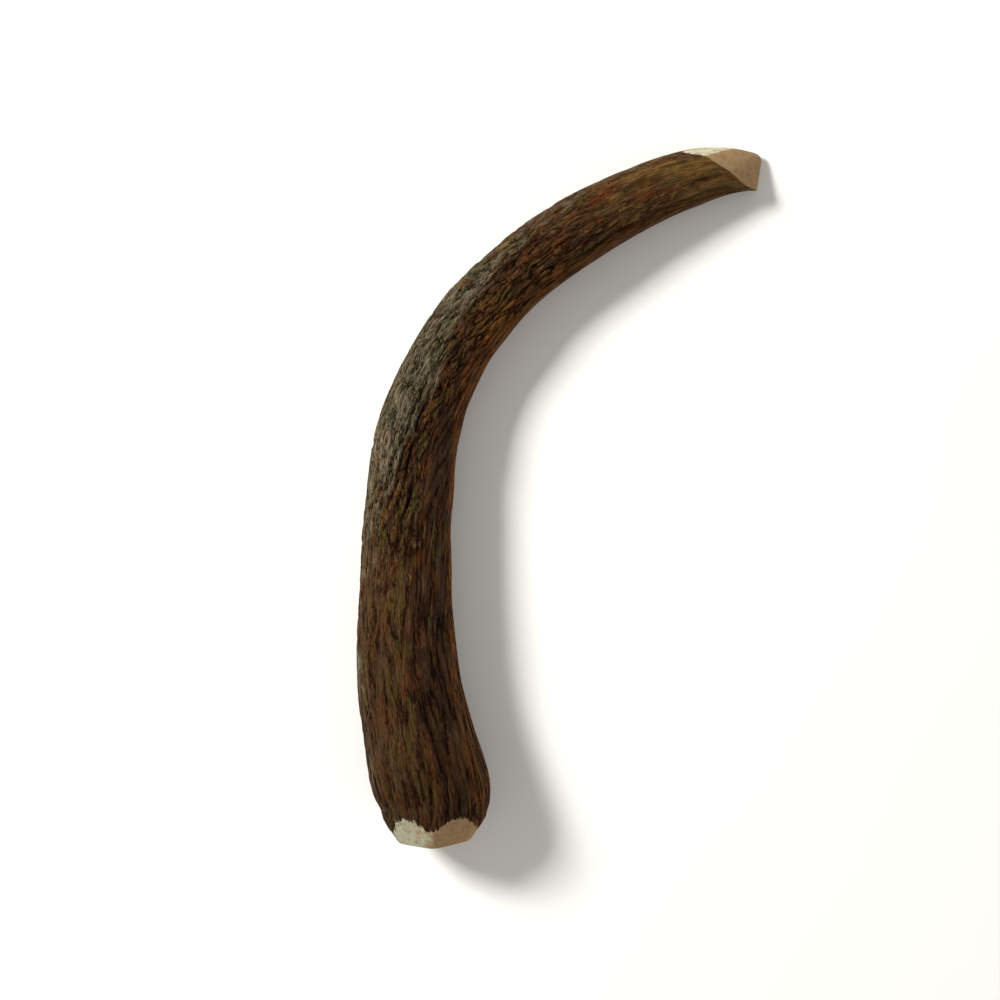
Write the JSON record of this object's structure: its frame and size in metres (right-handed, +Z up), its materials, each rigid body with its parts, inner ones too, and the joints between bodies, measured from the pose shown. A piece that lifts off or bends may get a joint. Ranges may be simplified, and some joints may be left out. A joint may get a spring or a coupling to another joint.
{
  "type": "deer antler",
  "caption": "Curved length of deer antler with ridged brown bark, sawn at both ends and ground to blunt pale bevels, lying on its side.",
  "frame": {"origin": "the middle of the antler's box, on the surface that it lies on", "axes": "+Z up. +Y along the box's long side, from the thick sawn base to the tip's end of the bend. +X towards the side that the tip curves to"},
  "size_m": [0.1108, 0.1896, 0.0286],
  "materials": {
    "antler": "dry, ridged brown bark with a slight waxy sheen on the ridges, and ground cream bone at the two ends"
  },
  "bodies": {
    "root": {"antler": "antler"}
  },
  "joints": []
}
